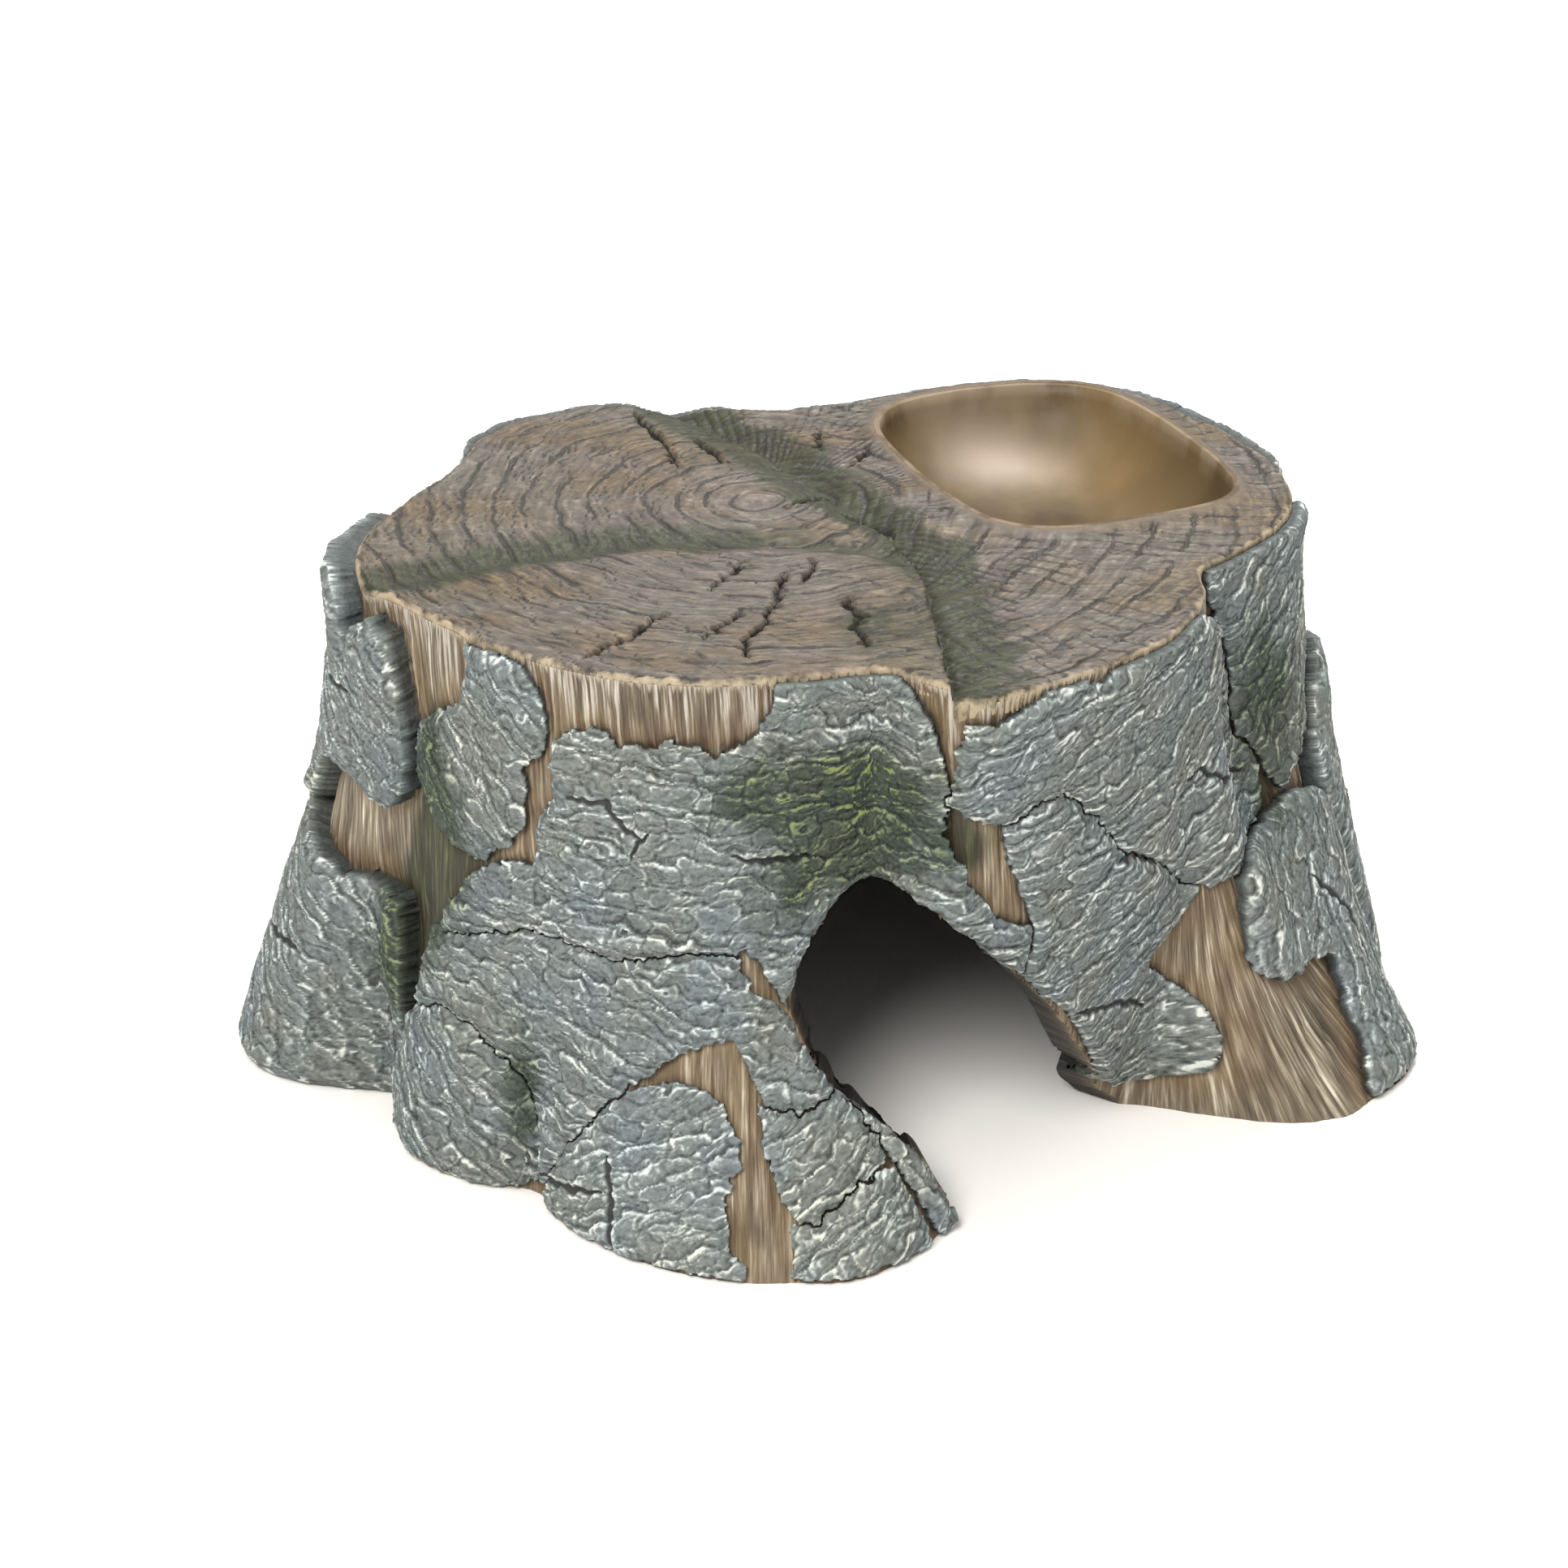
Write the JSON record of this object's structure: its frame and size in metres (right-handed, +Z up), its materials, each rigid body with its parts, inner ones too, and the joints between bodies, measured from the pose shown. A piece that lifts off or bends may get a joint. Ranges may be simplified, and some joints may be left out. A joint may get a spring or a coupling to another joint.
{
  "type": "cave ornament",
  "caption": "Hollow tree-stump cave ornament for a pond, aquarium or vivarium, with bark plates over a wood body, a cave mouth in front and a dish recess in its top.",
  "frame": {"origin": "centre of the footprint's bounding box, on the plane the ornament stands on", "axes": "+X to the right along the length, +Y to the back, away from the cave mouth, +Z up"},
  "size_m": [0.2428, 0.1978, 0.112],
  "materials": {
    "painted_wood": "satin",
    "painted_bark": "matte"
  },
  "bodies": {
    "root": {"wood_body": "painted_wood", "front_bark": "painted_bark", "front_left_bark": "painted_bark", "front_left_foot_bark": "painted_bark", "front_root_bark": "painted_bark", "front_root_edge_bark": "painted_bark", "front_root_left_bark": "painted_bark", "front_root_right_bark": "painted_bark", "front_root_tip_bark": "painted_bark", "left_root_bark": "painted_bark", "left_upper_bark": "painted_bark", "rear_centre_bark": "painted_bark", "rear_left_root_bark": "painted_bark", "rear_left_upper_bark": "painted_bark", "rear_right_low_bark": "painted_bark", "rear_right_root_bark": "painted_bark", "rear_right_upper_bark": "painted_bark", "rear_root_bark": "painted_bark", "right_front_lower_bark": "painted_bark", "right_front_upper_bark": "painted_bark", "right_root_bark": "painted_bark", "right_upper_bark": "painted_bark"}
  },
  "joints": []
}
